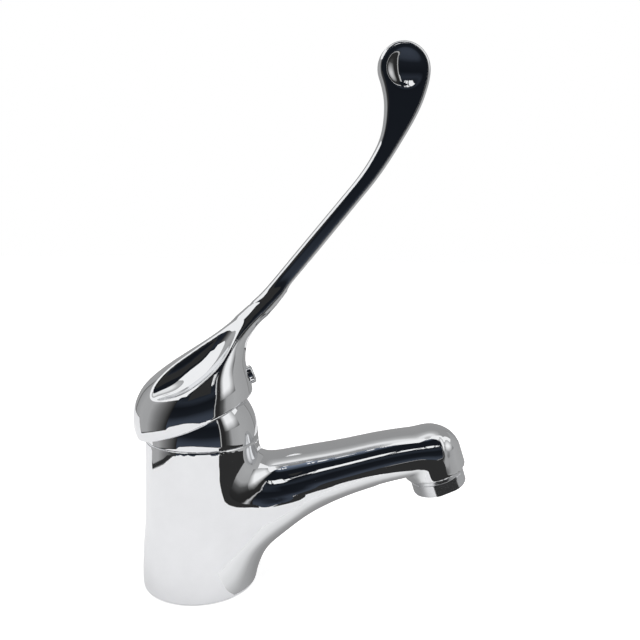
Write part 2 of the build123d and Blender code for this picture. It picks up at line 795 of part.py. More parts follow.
# Jet insert, perforated screen above it, and the gasket above the spigot
insert_bottom = insert_lip - ring_length
with BuildPart() as jet_insert:
    with BuildSketch(outlet.offset(insert_bottom)):
        Circle(insert_radius)
        with HexLocations(1.6 * grid_hole_radius, grid_rows, grid_rows):
            Circle(grid_hole_radius, mode=Mode.SUBTRACT)
    extrude(amount=insert_height)
jet_insert.part.label = "jet_insert"
export_step(jet_insert.part, "parts/jet_insert.step")

with BuildPart() as inlet_screen:
    with BuildSketch(outlet.offset(insert_bottom + insert_height)):
        Circle(insert_radius)
        for ring_share, hole_count in ((0.38, 5), (0.72, 10)):
            with PolarLocations(insert_radius * ring_share, hole_count):
                Circle(grid_hole_radius, mode=Mode.SUBTRACT)
    extrude(amount=screen_height)
inlet_screen.part.label = "inlet_screen"
export_step(inlet_screen.part, "parts/inlet_screen.step")

with BuildPart() as aerator_gasket:
    with BuildSketch(outlet.offset(thread_length)):
        Circle(thread_radius)
        Circle(thread_radius - gasket_width, mode=Mode.SUBTRACT)
    extrude(amount=gasket_height)
aerator_gasket.part.label = "aerator_gasket"
export_step(aerator_gasket.part, "parts/aerator_gasket.step")
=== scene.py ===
import json
import math

import bpy
import numpy as np
from mathutils import Matrix, Vector


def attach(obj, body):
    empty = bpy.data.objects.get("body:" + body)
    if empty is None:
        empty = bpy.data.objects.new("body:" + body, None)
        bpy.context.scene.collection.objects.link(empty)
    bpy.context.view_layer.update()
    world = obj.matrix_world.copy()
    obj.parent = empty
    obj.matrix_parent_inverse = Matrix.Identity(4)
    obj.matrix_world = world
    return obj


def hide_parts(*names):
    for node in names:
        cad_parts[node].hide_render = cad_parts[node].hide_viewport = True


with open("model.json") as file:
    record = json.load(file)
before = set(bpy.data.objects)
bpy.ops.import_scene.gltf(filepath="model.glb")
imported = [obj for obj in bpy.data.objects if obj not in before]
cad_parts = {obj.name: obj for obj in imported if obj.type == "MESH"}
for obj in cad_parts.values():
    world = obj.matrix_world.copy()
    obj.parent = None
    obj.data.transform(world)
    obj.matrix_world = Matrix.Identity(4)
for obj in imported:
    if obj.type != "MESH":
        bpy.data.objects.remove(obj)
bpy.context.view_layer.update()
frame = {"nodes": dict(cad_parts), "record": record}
nodes = frame["nodes"]

# Camera: the photograph's viewpoint, in front of the tap and a little above its cap
camera_place = Vector((0.0, -0.2972, 0.1583))
camera_pitch = math.radians(6.60)
camera_yaw = math.radians(10.60)
camera_roll = 0.02
camera_lens = 36.45

yaw_sin, yaw_cos = math.sin(camera_yaw), math.cos(camera_yaw)
pitch_sin, pitch_cos = math.sin(camera_pitch), math.cos(camera_pitch)
forward = Vector((yaw_sin * pitch_cos, yaw_cos * pitch_cos, -pitch_sin))
level_right = Vector((yaw_cos, -yaw_sin, 0.0))
level_up = level_right.cross(forward)
right = math.cos(camera_roll) * level_right + math.sin(camera_roll) * level_up
up = -math.sin(camera_roll) * level_right + math.cos(camera_roll) * level_up
camera_data = bpy.data.cameras.new("camera")
camera_data.sensor_width = 36.0
camera_data.lens = camera_lens
camera_data.clip_start = 0.01
camera_data.clip_end = 30.0
camera = bpy.data.objects.new("camera", camera_data)
turn = Matrix((right, up, -forward)).transposed().to_4x4()
camera.matrix_world = Matrix.Translation(camera_place) @ turn
bpy.context.scene.collection.objects.link(camera)
bpy.context.scene.camera = camera
bpy.context.scene.view_settings.view_transform = "Standard"


# Materials
def new_material(name):
    """A new material with its node tree and its Principled shader."""
    material = bpy.data.materials.new(name)
    material.use_nodes = True
    tree = material.node_tree
    shader = tree.nodes["Principled BSDF"]
    return material, tree, shader


def node(tree, kind, **inputs):
    """A node of that kind, with the named inputs set or linked."""
    made = tree.nodes.new(kind)
    for key, value in inputs.items():
        name = key.replace("_", " ")
        if isinstance(value, bpy.types.NodeSocket):
            tree.links.new(value, made.inputs[name])
        else:
            made.inputs[name].default_value = value
    return made


def ramp(tree, factor, stops):
    """A colour ramp through (position, grey or colour) stops."""
    made = tree.nodes.new("ShaderNodeValToRGB")
    tree.links.new(factor, made.inputs["Fac"])
    elements = made.color_ramp.elements
    while len(elements) < len(stops):
        elements.new(0.5)
    for element, (position, value) in zip(elements, stops):
        element.position = position
        if isinstance(value, (int, float)):
            value = (value, value, value)
        element.color = (*value, 1.0)
    return made.outputs["Color"]


def metal(name, colour, rough_low, rough_high, wave, grain, grain_scale):
    """Plated or turned metal: faint polishing waves, handling marks and a little grain."""
    material, tree, shader = new_material(name)
    place = tree.nodes.new("ShaderNodeTexCoord").outputs["Object"]
    marks = node(tree, "ShaderNodeTexNoise", Vector=place, Scale=60.0, Detail=5.0, Roughness=0.6)
    fine = node(tree, "ShaderNodeTexNoise", Vector=place, Scale=grain_scale, Detail=3.0)
    broad = node(tree, "ShaderNodeTexNoise", Vector=place, Scale=22.0, Detail=1.0)
    tint = ramp(tree, marks.outputs["Fac"], [
        (0.3, tuple(0.955 * c for c in colour)),
        (0.7, colour),
    ])
    tree.links.new(tint, shader.inputs["Base Color"])
    rough = node(tree, "ShaderNodeMapRange", Value=marks.outputs["Fac"])
    rough.inputs["From Min"].default_value = 0.35
    rough.inputs["From Max"].default_value = 0.75
    rough.inputs["To Min"].default_value = rough_low
    rough.inputs["To Max"].default_value = rough_high
    tree.links.new(rough.outputs["Result"], shader.inputs["Roughness"])
    shader.inputs["Metallic"].default_value = 1.0
    bump = node(tree, "ShaderNodeBump", Height=fine.outputs["Fac"])
    bump.inputs["Strength"].default_value = grain
    bump.inputs["Distance"].default_value = 0.0001
    swell = node(tree, "ShaderNodeBump", Height=broad.outputs["Fac"], Normal=bump.outputs["Normal"])
    swell.inputs["Strength"].default_value = wave
    swell.inputs["Distance"].default_value = 0.001
    tree.links.new(swell.outputs["Normal"], shader.inputs["Normal"])
    return material


def moulded(name, colour, roughness, speckle=0.04, grain_scale=900.0):
    """Moulded plastic, rubber or ceramic: slight mottling and a fine grain."""
    material, tree, shader = new_material(name)
    place = tree.nodes.new("ShaderNodeTexCoord").outputs["Object"]
    mottle = node(tree, "ShaderNodeTexNoise", Vector=place, Scale=140.0, Detail=4.0)
    fine = node(tree, "ShaderNodeTexNoise", Vector=place, Scale=grain_scale, Detail=2.0)
    low = tuple(max(0.0, c * (1 - 3 * speckle)) for c in colour)
    tint = ramp(tree, mottle.outputs["Fac"], [(0.3, low), (0.7, colour)])
    tree.links.new(tint, shader.inputs["Base Color"])
    rough = node(tree, "ShaderNodeMapRange", Value=mottle.outputs["Fac"])
    rough.inputs["To Min"].default_value = roughness * 0.85
    rough.inputs["To Max"].default_value = min(1.0, roughness * 1.15)
    tree.links.new(rough.outputs["Result"], shader.inputs["Roughness"])
    bump = node(tree, "ShaderNodeBump", Height=fine.outputs["Fac"])
    bump.inputs["Strength"].default_value = 0.15
    bump.inputs["Distance"].default_value = 0.0001
    tree.links.new(bump.outputs["Normal"], shader.inputs["Normal"])
    return material


chrome = metal("polished_chrome", (0.86, 0.87, 0.885), 0.015, 0.05, 0.006, 0.006, 1500.0)
ring_chrome = metal("ring_chrome", (0.80, 0.81, 0.83), 0.20, 0.30, 0.02, 0.10, 2500.0)
turned_brass = metal("turned_brass", (0.72, 0.55, 0.28), 0.22, 0.34, 0.02, 0.15, 2500.0)
turned_steel = metal("turned_steel", (0.60, 0.60, 0.61), 0.25, 0.38, 0.02, 0.15, 2500.0)
seal_rubber = moulded("seal_rubber", (0.035, 0.035, 0.038), 0.62)
white_plastic = moulded("white_plastic", (0.80, 0.80, 0.78), 0.42)
grey_plastic = moulded("grey_plastic", (0.22, 0.23, 0.25), 0.45)
ceramic = moulded("lapped_ceramic", (0.82, 0.82, 0.80), 0.16, speckle=0.015)

finishes = {
    "chrome": chrome,
    "ring_chrome": ring_chrome,
    "raw_brass": turned_brass,
    "seal_rubber": seal_rubber,
    "white_plastic": white_plastic,
    "grey_plastic": grey_plastic,
    "ceramic": ceramic,
    "steel": turned_steel,
}
for part in frame["record"]["subparts"]:
    piece = nodes[part["node"]]
    piece.data.materials.clear()
    piece.data.materials.append(finishes[part["material_slot"]])


# Smooth castings. A form is a function of points in millimetres, negative inside the metal.
probe = 0.02
coarse_cell = 3
near_surface = 3.2
relax_rounds = 2
surface_steps = 2
least_steepness = 0.05


def curve(*points):
    """A smooth line through (place, value) points, as a function that works on whole arrays."""
    knots, values = np.array(points, float).T
    count = len(knots)
    gaps = np.diff(knots)
    slopes = np.diff(values) / gaps
    system = np.eye(count)
    pull = np.zeros(count)
    for i in range(1, count - 1):
        system[i, i - 1:i + 2] = gaps[i - 1], 2 * (gaps[i - 1] + gaps[i]), gaps[i]
        pull[i] = 6 * (slopes[i] - slopes[i - 1])
    bend = np.linalg.solve(system, pull)

    def value_at(place):
        place = np.clip(place, knots[0], knots[-1])
        i = np.clip(np.searchsorted(knots, place) - 1, 0, count - 2)
        left, ahead, gap = place - knots[i], knots[i + 1] - place, gaps[i]
        cubic = (bend[i] * ahead**3 + bend[i + 1] * left**3) / (6 * gap)
        start = (values[i] / gap - bend[i] * gap / 6) * ahead
        end = (values[i + 1] / gap - bend[i + 1] * gap / 6) * left
        return cubic + start + end
    return value_at


def slope(form, points):
    """A form's value at each point, and the direction and steepness with which it grows there."""
    value = form(points)
    growth = [(form(points + side) - value) / probe for side in probe * np.eye(3)]
    return value, np.stack(growth, 1)


def true_size(form, points):
    """A form's value as a distance to its surface."""
    value, growth = slope(form, points)
    return value / np.maximum(np.linalg.norm(growth, axis=1), 1e-3)


def join(a, b, radius):
    """Both solids, with the corner between them filled to about this radius."""
    overlap = np.maximum(radius - np.abs(a - b), 0) / radius
    return np.minimum(a, b) - overlap**3 * radius / 6


def meet(a, b, radius):
    """What both solids share, with the edge rounded to about this radius."""
    return -join(-a, -b, radius)


def cut(a, b, radius):
    """The first solid less the second, with the edge rounded to about this radius."""
    return meet(a, -b, radius)


def oval(across, along, half_across, half_along):
    """How far points lie outside an ellipse centred at zero."""
    share = np.hypot(across / half_across, along / half_along)
    return (share - 1) * np.minimum(half_across, half_along)


def cells_of(low, high, step, form):
    """Grid values of a form between two corners, worked out only near its surface."""
    counts = np.ceil((np.array(high) - low) / step).astype(int) + 1
    coarse_counts = (counts + coarse_cell - 1) // coarse_cell + 1
    coarse = np.stack(np.meshgrid(*[np.arange(n) for n in coarse_counts], indexing="ij"), -1)
    values = form(low + coarse.reshape(-1, 3) * step * coarse_cell).reshape(coarse_counts)
    for axis in range(3):
        values = np.repeat(values, coarse_cell, axis=axis)
    values = values[:counts[0], :counts[1], :counts[2]].copy()
    near = np.argwhere(np.abs(values) < near_surface * coarse_cell * step)
    values[tuple(near.T)] = form(low + near * step)
    return values


def skin(form, low, high, step):
    """Vertices and faces of a form's surface, on a grid of this step, drawn onto the exact surface."""
    low = np.array(low, float)
    values = cells_of(low, high, step, form)
    inside = values < 0
    corner = [(i, j, k) for i in (0, 1) for j in (0, 1) for k in (0, 1)]
    size = np.array(values.shape) - 1
    filled = sum(
        inside[i:i + size[0], j:j + size[1], k:k + size[2]].astype(int) for i, j, k in corner
    )
    active = np.argwhere((filled > 0) & (filled < 8))
    number = np.full(size, -1)
    number[tuple(active.T)] = np.arange(len(active))
    total, weight = np.zeros((len(active), 3)), np.zeros(len(active))
    for a in corner:
        for axis in range(3):
            if a[axis] == 0:
                b = tuple(c + (n == axis) for n, c in enumerate(a))
                first = values[tuple((active + a).T)]
                second = values[tuple((active + b).T)]
                crossed = (first < 0) != (second < 0)
                share = np.where(crossed, first / np.where(crossed, first - second, 1), 0)
                place = np.array(a) + share[:, None] * (np.array(b) - a)
                total += np.where(crossed[:, None], place, 0)
                weight += crossed
    points = low + (active + total / weight[:, None]) * step
    quads = []
    for axis in range(3):
        one, two = (axis + 1) % 3, (axis + 2) % 3
        ahead = [slice(None)] * 3
        behind = [slice(None)] * 3
        ahead[axis], behind[axis] = slice(1, None), slice(None, -1)
        leaving = inside[tuple(behind)] & ~inside[tuple(ahead)]
        entering = ~inside[tuple(behind)] & inside[tuple(ahead)]
        for crossing, outward in ((leaving, True), (entering, False)):
            edges = np.argwhere(crossing)
            step_one, step_two = np.eye(3, dtype=int)[one], np.eye(3, dtype=int)[two]
            ring = [edges - step_one - step_two, edges - step_two, edges, edges - step_one]
            quad = np.stack([number[tuple(cell.T)] for cell in ring], 1)
            quads.append(quad if outward else quad[:, ::-1])
    quads = np.concatenate(quads)
    meetings = np.bincount(quads.ravel(), minlength=len(points))
    for _ in range(relax_rounds):
        spread = np.stack([
            np.bincount(quads.ravel(), points[np.roll(quads, 1, axis=1).ravel(), axis], len(points))
            for axis in range(3)
        ], 1)
        points = 0.5 * points + 0.5 * spread / meetings[:, None]
        for _ in range(surface_steps):
            value, growth = slope(form, points)
            steep = np.maximum((growth**2).sum(1), least_steepness)
            move = value[:, None] * growth / steep[:, None]
            reach = np.linalg.norm(move, axis=1)
            points -= move * np.minimum(1, step / np.maximum(reach, 1e-9))[:, None]
    return points, quads


def add_piece(name, points, faces, node_name, body, slot):
    """A mesh piece in metres that stands for a CAD node and rides on its body."""
    mesh = bpy.data.meshes.new(name)
    mesh.from_pydata((np.asarray(points) / 1000.0).tolist(), [], np.asarray(faces).tolist())
    mesh.validate()
    mesh.shade_smooth()
    mesh.materials.append(finishes[slot])
    piece = bpy.data.objects.new(name, mesh)
    bpy.context.scene.collection.objects.link(piece)
    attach(piece, body)
    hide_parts(node_name)
    return piece


# Sizes of the castings, in millimetres
column_height = 69.5
column_lean = 1.5
foot_radius = 25.0
top_radius = 25.7
outlet_place = (115.6, 48.2)
outlet_tilt = math.radians(19.0)
nose_radius = 15.2
nose_side = 9.0
nose_rise = 23.3
pivot = np.array((column_lean, 0.0, 70.8))
lift = math.radians(22.0)

flare_top = 42.0
flare_top_edge = 3.0
flare_fill = 6.0
spout_start = 2.0
spout_end = 114.0
spout_fill = 13.0
column_top_edge = 0.8
foot_edge = 4.0
nose_edge = 1.2
nose_fill = 3.0

# Bores, as (radius, height of the inner end): two from the column's top and two from its foot
chamber = (17.65, 39.8)
nut_bore = (19.1, 60.7)
foot_recess = (20.4, 24.0)
seal_seat = (23.4, 2.4)

# Bores up the outlet, with heights above its face
socket_radius = 12.1
socket_start = -1.0
socket_end = 8.1
waterway_radius = 10.0
waterway_end = 13.1

flare_front = curve(
    (0, 25.9), (5, 27.0), (9, 28.5), (17, 32.5), (24, 38.3), (30, 45.6), (36, 56.0), (44, 72.0)
)
flare_half = curve(
    (0, 25.0), (9, 25.1), (17, 25.0), (24, 24.2), (30, 22.0), (36, 18.5), (44, 12.0)
)
spout_low = curve(
    (0, 22.0), (20, 22.0), (36, 23.4), (48, 30.8), (60, 36.3), (72, 40.0), (84, 42.9), (98, 45.6),
    (118, 48.6),
)
spout_high = curve(
    (0, 59.4), (20, 59.8), (36, 60.3), (48, 61.9), (60, 63.5), (72, 65.3), (84, 67.4), (98, 69.2),
    (111, 70.1), (118, 70.3),
)
spout_half = curve(
    (0, 21.4), (20, 21.4), (36, 19.4), (48, 17.9), (60, 16.7), (72, 15.8), (84, 15.3), (98, 14.9),
    (118, 14.8),
)


def column_form(p):
    """The leaning column with the flare in front of it."""
    x, y, z = p.T
    share = z / column_height
    centre = column_lean * share
    radius = foot_radius + (top_radius - foot_radius) * share
    round_side = np.hypot(x - centre, y) - radius
    reach = flare_front(z) - centre
    flare = np.where(
        x > centre,
        oval(x - centre, y, reach, flare_half(z)),
        np.hypot(x - centre, y) - flare_half(z),
    )
    flare = meet(flare, z - flare_top, flare_top_edge)
    return join(round_side, flare, flare_fill)


def spout_form(p):
    """The spout, as upright ovals that follow one another outward."""
    x, y, z = p.T
    low, high = spout_low(x), spout_high(x)
    bar = oval(z - (low + high) / 2, y, (high - low) / 2, spout_half(x))
    return np.maximum(bar, np.maximum(spout_start - x, x - spout_end))


def outlet_frame(p):
    """Distance from the outlet's axis, and height above its face."""
    x, y, z = p.T
    ahead, above = x - outlet_place[0], z - outlet_place[1]
    across = ahead * math.cos(outlet_tilt) + above * math.sin(outlet_tilt)
    return np.hypot(across, y), above * math.cos(outlet_tilt) - ahead * math.sin(outlet_tilt)


def body_form(p):
    """The whole casting: column, spout, nose, and the bores that the other pieces sit in."""
    x, y, z = p.T
    side = true_size(column_form, p)
    spout = true_size(spout_form, p)
    solid = join(side, spout, spout_fill)
    solid = meet(solid, z - column_height, column_top_edge)
    solid = meet(solid, -z, foot_edge)
    out, above = outlet_frame(p)
    crown = oval(out, np.maximum(above - nose_side, 0), nose_radius, nose_rise - nose_side)
    nose = meet(crown, -above, nose_edge)
    solid = join(solid, nose, nose_fill)
    upright = np.hypot(x - column_lean, y)
    around = np.hypot(x, y)
    bores = [np.maximum(upright - radius, end - z) for radius, end in (chamber, nut_bore)]
    bores += [np.maximum(around - radius, z - end) for radius, end in (foot_recess, seal_seat)]
    socket = np.maximum(out - socket_radius, above - socket_end)
    bores.append(np.maximum(socket, socket_start - above))
    bores.append(np.maximum(out - waterway_radius, above - waterway_end))
    for bore in bores:
        solid = np.maximum(solid, -bore)
    return solid


body_step = 1.0
points, faces = skin(body_form, (-27.5, -27.5, -1.0), (132.0, 27.5, 73.5), body_step)
add_piece("cast_body", points, faces, "body", "tap", "chrome")

# Handle, in the frame of the lifted lever: x along it, y across, z up from the pivot
lever_ahead = np.array((math.cos(lift), 0.0, math.sin(lift)))
lever_up = np.array((-math.sin(lift), 0.0, math.cos(lift)))
lever_turn = np.stack([lever_ahead, (0.0, 1.0, 0.0), lever_up])

rim_height = 9.8
rim_edge = 1.6
neck_top = 46.8
neck_edge = 3.5
scoop_end = 60.0
scoop_edge = 1.6
blade_fill = 8.0
cap_rear = curve(
    (6, -27.5), (9.8, -27.4), (13.5, -27.2), (18.0, -26.1), (23.1, -23.8), (28.6, -19.1),
    (33.1, -11.2), (36.6, 1.6), (40.1, 19.2), (43.6, 32.0), (47.0, 43.8),
)
cap_front = curve(
    (6, 28.2), (9.8, 28.7), (13.5, 29.4), (18.0, 29.9), (23.1, 30.4), (28.6, 32.6),
    (33.1, 36.0), (36.6, 40.8), (40.1, 46.6), (43.6, 52.8), (47.0, 57.5),
)
cap_half = curve(
    (6, 26.8), (9.8, 26.8), (13.5, 26.8), (18.0, 26.1), (23.1, 23.8), (28.6, 19.8),
    (33.1, 15.2), (36.6, 10.7), (40.1, 7.1), (43.6, 4.6), (47.0, 2.6),
)
scoop_side = curve(
    (-18, 16.6), (-14, 17.0), (-9.6, 18.0), (-0.6, 18.5), (9.4, 17.5), (19.4, 15.2), (29.4, 12.5),
    (39.4, 9.4), (50, 7.4),
)
scoop_up = curve(
    (-18, 29.2), (-14, 31.0), (-9.6, 33.4), (-0.6, 36.2), (9.4, 38.6), (19.4, 41.6), (29.4, 45.6),
    (39.4, 50.6), (50, 57.0),
)
scoop_radius = curve(
    (-18, -4.0), (-14, 3.3), (-9.6, 7.6), (-0.6, 11.6), (9.4, 12.5), (19.4, 11.8), (29.4, 9.4),
    (39.4, 6.5), (50, 3.6),
)

blade_half = 2.8
blade_edge = 1.9
pad_centre = (147.6, 122.1)
pad_radius = 12.4
dimple_radius = 8.9
dimple_depth = 1.7
dimple_edge = 0.8
blade_direction = (math.cos(math.radians(28.5)), math.sin(math.radians(28.5)))
cavity_radius = 26.2
roof_height = 15.5
hub_radius = 8.0
hub_bottom = 10.0


def bend_through(points, start, end, count):
    """Points of a smooth line through a few points, with its directions at both ends."""
    points = np.array(points, float)
    reach = np.linalg.norm(np.diff(points, axis=0), axis=1)
    tangents = np.zeros_like(points)
    tangents[1:-1] = (points[2:] - points[:-2]) / (reach[1:] + reach[:-1])[:, None]
    tangents[0], tangents[-1] = start, end
    out = []
    for i, gap in enumerate(reach):
        t = np.linspace(0, 1, count, endpoint=False)[:, None]
        out.append(
            (2 * t**3 - 3 * t**2 + 1) * points[i] + (t**3 - 2 * t**2 + t) * gap * tangents[i]
            + (3 * t**2 - 2 * t**3) * points[i + 1] + (t**3 - t**2) * gap * tangents[i + 1]
        )
    return np.concatenate(out)


pad_x, pad_z = pad_centre
bend_count = 16
turn_round = np.linspace(math.pi, 0, 40, endpoint=False)
blade_back = bend_through([
    (pad_x - 43.2, pad_z - 41.6), (pad_x - 23.4, pad_z - 27.5), (pad_x - 14.8, pad_z - 13.5),
    (pad_x - pad_radius, pad_z),
], blade_direction, (0, 1), bend_count)
blade_tip = np.stack([
    pad_x + pad_radius * np.cos(turn_round), pad_z + pad_radius * np.sin(turn_round),
], 1)
blade_front = bend_through([
    (pad_x + pad_radius, pad_z), (pad_x + 5.4, pad_z - 14.1), (pad_x - 10.6, pad_z - 28.7),
    (pad_x - 35.2, pad_z - 45.4),
], (0, -1), (-blade_direction[0], -blade_direction[1]), bend_count)
blade_root = np.array([(pad_x - 35.2, pad_z - 45.4), (56.4, 45.6), (47.0, 41.2), (36.0, 43.0)])
blade_outline = np.concatenate([blade_back, blade_tip, blade_front, blade_root])


def outline_distance(x, z, outline):
    """Distance from points of the side view to a closed outline, negative inside it."""
    place = np.stack([x, z], 1)
    nearest = np.full(len(x), np.inf)
    within = np.zeros(len(x), bool)
    for a, b in zip(outline, np.roll(outline, -1, axis=0)):
        side, away = b - a, place - a
        share = np.clip(away @ side / (side @ side), 0, 1)
        nearest = np.minimum(nearest, ((away - share[:, None] * side)**2).sum(1))
        crosses = (a[1] > z) != (b[1] > z)
        rise = b[1] - a[1] if b[1] != a[1] else 1.0
        within ^= crosses & (x < a[0] + (z - a[1]) / rise * side[0])
    return np.sqrt(nearest) * np.where(within, -1, 1)


def cap_form(p):
    """The cap and neck, as level ovals that follow one another up the lever."""
    x, y, z = p.T
    rear, front = cap_rear(z), cap_front(z)
    return oval(x - (rear + front) / 2, y, (front - rear) / 2, cap_half(z))


def scoop_form(p):
    """The hollow in the flanks of the cap, on both sides at once."""
    x, y, z = p.T
    return np.hypot(np.abs(y) - scoop_side(x), z - scoop_up(x)) - scoop_radius(x)


def blade_form(p):
    """The flat lever with its round pad, rounded along its edges."""
    x, y, z = p.T
    outside = outline_distance(x, z, blade_outline) + blade_edge
    aside = np.abs(y) - blade_half + blade_edge
    reach = np.hypot(np.maximum(outside, 0), np.maximum(aside, 0))
    blade = reach + np.minimum(np.maximum(outside, aside), 0) - blade_edge
    ball = (dimple_radius**2 + dimple_depth**2) / (2 * dimple_depth)
    centre = blade_half - dimple_depth + ball
    dimple = np.sqrt((x - pad_x)**2 + (np.abs(y) - centre)**2 + (z - pad_z)**2) - ball
    return cut(blade, dimple, dimple_edge)


def handle_form(p):
    """The whole handle: cap, hollowed flanks, blade and pad, with the space for the dome."""
    x, y, z = p.T
    cap = true_size(cap_form, p)
    cap = meet(cap, z - neck_top, neck_edge)
    scoop = true_size(scoop_form, p)
    cap = cut(cap, np.maximum(scoop, x - scoop_end), scoop_edge)
    cap = meet(cap, rim_height - z, rim_edge)
    solid = join(cap, blade_form(p), blade_fill)
    ball = np.sqrt(x**2 + y**2 + z**2) - cavity_radius
    world_height = z * math.cos(lift) + x * math.sin(lift)
    roof = np.maximum(z - roof_height, world_height - roof_height)
    hub = np.maximum(np.hypot(x, y) - hub_radius, hub_bottom - z)
    space = np.maximum(np.maximum(ball, roof), -hub)
    return np.maximum(solid, -space)


handle_step = 0.7
points, faces = skin(handle_form, (-29.5, -28.5, 7.0), (161.5, 28.5, 136.0), handle_step)
points = points @ lever_turn + pivot
add_piece("cast_handle", points, faces, "handle", "lever", "chrome")


def lathe(profile, rings, limit=None):
    """Vertices and faces of a turned closed form; a limit holds its radius back at each angle."""
    profile = np.array(profile, float)
    angles = np.linspace(0, 2 * math.pi, rings, endpoint=False)
    radius = np.tile(profile[:, 0], (rings, 1))
    if limit is not None:
        radius = limit(angles[:, None], radius, profile[None, :, 1])
    height = np.tile(profile[:, 1], (rings, 1))
    points = np.stack([
        radius * np.cos(angles)[:, None], radius * np.sin(angles)[:, None], height,
    ], -1).reshape(-1, 3)
    count = len(profile)
    i, j = np.meshgrid(np.arange(rings), np.arange(count), indexing="ij")
    nexti, nextj = (i + 1) % rings, (j + 1) % count
    faces = np.stack([i * count + j, nexti * count + j, nexti * count + nextj, i * count + nextj], -1)
    return points, faces.reshape(-1, 4)


def arc(centre, radius, start, end, count):
    """Points of an arc in a profile, from one angle to another in degrees."""
    turn = np.radians(np.linspace(start, end, count))
    return [(centre[0] + radius * math.cos(a), centre[1] + radius * math.sin(a)) for a in turn]


# Plug in the front of the cap, over the grub screw: a rimmed head with a shallow round dish
plug_height = 17.0
plug_profile = [
    (0.03, 23.0), (3.3, 23.0), (3.3, 29.0), (4.25, 29.0), (4.25, 30.9), (4.1, 31.5), (3.7, 31.9),
    (3.1, 32.1), (2.6, 31.9), (2.1, 31.4), (1.2, 31.1), (0.03, 31.0),
]
crisp_edge = math.radians(32)
points, faces = lathe(plug_profile, 72)
points = points[:, [2, 1, 0]] * (1, 1, -1) + (0, 0, plug_height)
plug = add_piece("lever_plug", points @ lever_turn + pivot, faces, "handle_plug", "lever", "chrome")
plug.data.set_sharp_from_angle(angle=crisp_edge)

# Dome: a shell round the pivot, from the casting's top to under the cap
dome_radius = 25.5
dome_inner = 23.7
dome_foot = -1.3
dome_top = 15.2
dome_skirt = 25.1
dome_bore = 20.5
dome_bore_top = 2.1
inner_foot_angle = 6.0
skirt_rise = 0.25
foot_angle = math.degrees(math.asin((dome_foot + skirt_rise) / dome_radius))
top_angle = math.degrees(math.asin(dome_top / dome_radius))
inner_top_angle = math.degrees(math.asin(dome_top / dome_inner))
dome_profile = (
    [(dome_bore, dome_foot), (dome_skirt, dome_foot)]
    + arc((0, 0), dome_radius, foot_angle, top_angle, 40)
    + arc((0, 0), dome_inner, inner_top_angle, inner_foot_angle, 30)
    + [(dome_bore, dome_bore_top)]
)
fine_rings = 240
points, faces = lathe(dome_profile, fine_rings)
dome = add_piece("dome_shroud", points + pivot, faces, "shroud", "tap", "chrome")
dome.data.set_sharp_from_angle(angle=crisp_edge)

# Aerator ring: round shoulder, two spanner flats and the lip that holds the jet insert
ring_profile = (
    [(12.0, 6.5), (12.0, 0.0), (12.9, 0.0), (13.3, -0.4), (13.3, -2.1), (13.2, -2.25)]
    + [(13.3, -2.4), (13.3, -7.9), (13.1, -8.35), (12.6, -8.6)]
    + [(9.9, -8.6), (9.6, -8.3), (9.6, -7.6), (10.7, -7.6), (10.7, 6.5)]
)
flat_half = 11.9
flat_start = -2.3
insert_edge = 11.0
ring_crisp_edge = math.radians(28)


def spanner_flats(angle, radius, height):
    """The radius of the ring, held back to its two flats below the shoulder."""
    room = flat_half / np.maximum(np.abs(np.sin(angle)), 1e-6)
    flat = (height < flat_start) & (radius > insert_edge)
    return np.where(flat, np.minimum(radius, room), radius)


points, faces = lathe(ring_profile, fine_rings, spanner_flats)
outlet_ahead = np.array((math.cos(outlet_tilt), 0.0, math.sin(outlet_tilt)))
outlet_up = np.array((-math.sin(outlet_tilt), 0.0, math.cos(outlet_tilt)))
outlet_turn = np.stack([outlet_ahead, (0.0, 1.0, 0.0), outlet_up])
outlet_origin = np.array((outlet_place[0], 0.0, outlet_place[1]))
ring = add_piece(
    "aerator_ring", points @ outlet_turn + outlet_origin, faces, "aerator_housing", "tap", "ring_chrome"
)
ring.data.set_sharp_from_angle(angle=ring_crisp_edge)


# Stage: floor, world, lamps, and the cards that the chrome mirrors
def seen_by(tree, *kinds):
    """1 for the named kinds of ray, otherwise 0."""
    ray = tree.nodes.new("ShaderNodeLightPath")
    seen = ray.outputs[kinds[0]]
    for kind in kinds[1:]:
        either = tree.nodes.new("ShaderNodeMath")
        either.operation = "MAXIMUM"
        tree.links.new(seen, either.inputs[0])
        tree.links.new(ray.outputs[kind], either.inputs[1])
        seen = either.outputs[0]
    return seen


def blend_shaders(tree, share, first, second):
    """A mix of two shader outputs."""
    mix = tree.nodes.new("ShaderNodeMixShader")
    for socket, source in zip(mix.inputs, (share, first, second)):
        tree.links.new(source, socket)
    return mix.outputs[0]


def stage_mesh(name, points, faces, material):
    """A mesh that belongs to the stage."""
    mesh = bpy.data.meshes.new(name)
    mesh.from_pydata(points, [], faces)
    mesh.materials.append(material)
    made = bpy.data.objects.new(name, mesh)
    bpy.context.scene.collection.objects.link(made)
    return made


# The floor's glow: seen directly, in the chrome, and by all other rays
floor_size = 6.0
floor_seen = 0.76
floor_mirrored = 0.26
floor_glow = 0.12
floor_paint, tree, shader = new_material("floor_paint")
shader.inputs["Base Color"].default_value = (0.80, 0.80, 0.80, 1.0)
shader.inputs["Roughness"].default_value = 0.9
shader.inputs["Specular IOR Level"].default_value = 0.1
lit = node(tree, "ShaderNodeEmission", Color=(1.0, 1.0, 1.0, 1.0), Strength=floor_seen)
mirrored = node(tree, "ShaderNodeEmission", Color=(1.0, 0.985, 1.0, 1.0), Strength=floor_mirrored)
unlit = node(tree, "ShaderNodeEmission", Color=(1.0, 1.0, 1.0, 1.0), Strength=floor_glow)
extra = blend_shaders(tree, seen_by(tree, "Is Glossy Ray"), unlit.outputs[0], mirrored.outputs[0])
direct = seen_by(tree, "Is Camera Ray", "Is Transmission Ray")
extra = blend_shaders(tree, direct, extra, lit.outputs[0])
both = tree.nodes.new("ShaderNodeAddShader")
